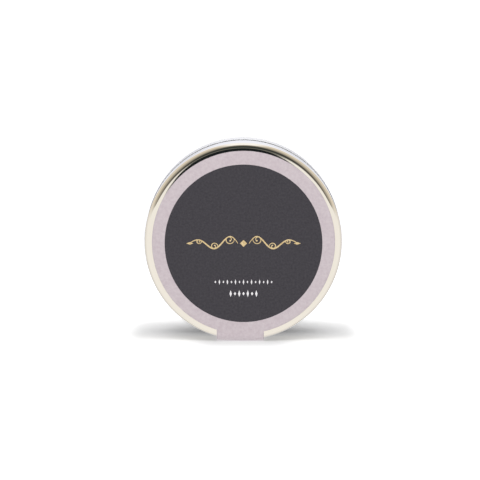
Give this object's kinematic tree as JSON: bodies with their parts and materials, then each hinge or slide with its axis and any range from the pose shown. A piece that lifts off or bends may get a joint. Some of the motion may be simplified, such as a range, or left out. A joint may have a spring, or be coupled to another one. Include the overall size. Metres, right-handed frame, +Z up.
{
  "type": "shoe cream jar",
  "caption": "Squat round clear glass jar of black shoe cream with a polished gold screw lid, a foam wad and a round paper label with a folded seal tab.",
  "frame": {"origin": "middle of the standing ring under the glass jar, on the surface it stands on", "axes": "+Z up along the jar's axis through the lid, -Y towards the label's folded tab"},
  "size_m": [0.0602, 0.0604, 0.0432],
  "materials": {
    "glass_jar": "clear, polished",
    "shoe_cream": "black wax cream, soft gloss",
    "base_label": "matte",
    "seal_tab_end": "matte, pale lilac",
    "liner_wad": "white foam",
    "lid_shell": "polished, gold anodised",
    "lid_insert": "moulded white",
    "label_sheet": "matte, pale lilac",
    "label_disc": "matte charcoal print",
    "foil_emblem": "gold foil",
    "print_marks": "white print"
  },
  "bodies": {
    "jar": {"glass_jar": "glass_jar", "shoe_cream": "shoe_cream", "base_label": "base_label", "seal_tab_end": "seal_tab_end"},
    "wad": {"liner_wad": "liner_wad"},
    "lid": {"lid_shell": "lid_shell", "lid_insert": "lid_insert", "label_sheet": "label_sheet", "label_disc": "label_disc", "foil_emblem": "foil_emblem", "print_marks": "print_marks"}
  },
  "joints": [
    {"name": "lid_lift", "type": "slide", "parent": "jar", "child": "wad", "axis": [0, 0, 1], "range_m": [0, 0.021]},
    {"name": "lid_turn", "type": "hinge", "parent": "wad", "child": "lid", "pos_m": [0, 0, 0.041], "axis": [0, 0, 1], "range_deg": [0, 540]}
  ],
  "couplings": [
    {"joint": "lid_lift", "follows": "lid_turn", "m_per_rad": 0.0022282}
  ]
}
